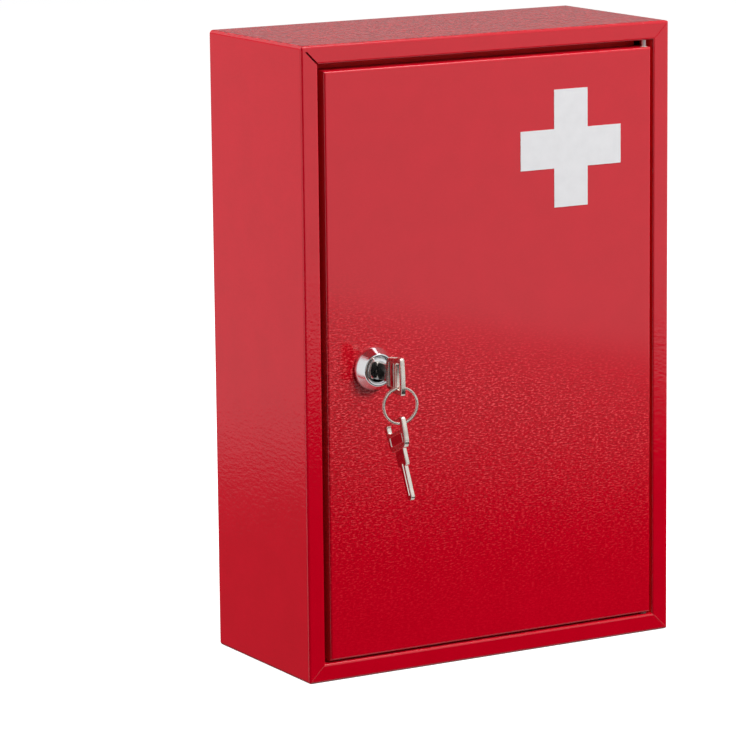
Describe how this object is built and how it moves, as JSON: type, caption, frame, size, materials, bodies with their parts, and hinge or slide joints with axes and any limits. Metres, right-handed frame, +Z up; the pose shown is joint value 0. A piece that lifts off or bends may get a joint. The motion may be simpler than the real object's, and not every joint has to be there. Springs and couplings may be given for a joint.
{
  "type": "lockable medicine cabinet",
  "caption": "Flush-door steel wall cabinet with a fixed shelf, pivot-pin hinge, cam lock with key, spare key on a split ring, and a white cross on the door.",
  "frame": {"origin": "centre of the case's footprint, on its underside", "axes": "+X right, +Y towards the wall, +Z up; the door faces -Y"},
  "size_m": [0.215, 0.1336, 0.32],
  "materials": {
    "red_paint": "textured powder coat",
    "zinc_steel": "zinc plated",
    "lock_chrome": "polished",
    "key_nickel": "satin nickel plate",
    "cross_film": "matt film",
    "rubber": "matt",
    "nylon": "natural nylon"
  },
  "bodies": {
    "case": {"case_wrap": "red_paint", "back_panel": "red_paint", "shelf": "red_paint", "shelf_bracket_left": "red_paint", "shelf_bracket_right": "red_paint", "bumper_upper": "rubber", "bumper_lower": "rubber", "strike_plate": "zinc_steel", "hinge_pin_top": "zinc_steel", "hinge_pin_bottom": "zinc_steel", "hinge_washer": "zinc_steel"},
    "door": {"door_panel": "red_paint", "hinge_block_top": "nylon", "hinge_block_bottom": "nylon", "cross_decal": "cross_film", "lock_barrel": "lock_chrome", "lock_washer": "zinc_steel", "lock_nut": "zinc_steel"},
    "lock_core": {"lock_plug": "lock_chrome", "stop_washer": "zinc_steel", "cam_lever": "zinc_steel", "cam_washer": "zinc_steel", "cam_screw": "zinc_steel"},
    "key": {"key": "key_nickel"},
    "key_ring": {"key_ring": "key_nickel"},
    "spare_key": {"spare_key": "key_nickel"}
  },
  "joints": [
    {"name": "door_hinge", "type": "hinge", "parent": "case", "child": "door", "pos_m": [0.094, -0.0443, 0.1584], "axis": [0, 0, 1], "range_deg": [0, 100]},
    {"name": "lock_turn", "type": "hinge", "parent": "door", "child": "lock_core", "pos_m": [-0.069, -0.0475, 0.1572], "axis": [0, 1, 0], "range_deg": [0, 90]},
    {"name": "key_slide", "type": "slide", "parent": "lock_core", "child": "key", "axis": [0, -1, 0], "range_m": [0, 0.0175]},
    {"name": "ring_hang", "type": "hinge", "parent": "key", "child": "key_ring", "pos_m": [-0.069, -0.074, 0.14915], "axis": [0, 1, 0], "range_deg": [-90, 0]},
    {"name": "spare_swing", "type": "hinge", "parent": "key_ring", "child": "spare_key", "pos_m": [-0.069, -0.074, 0.13376], "axis": [1, 0, 0], "range_deg": [-35, 35]}
  ],
  "couplings": [
    {"joint": "ring_hang", "follows": "lock_turn", "ratio": -1}
  ]
}
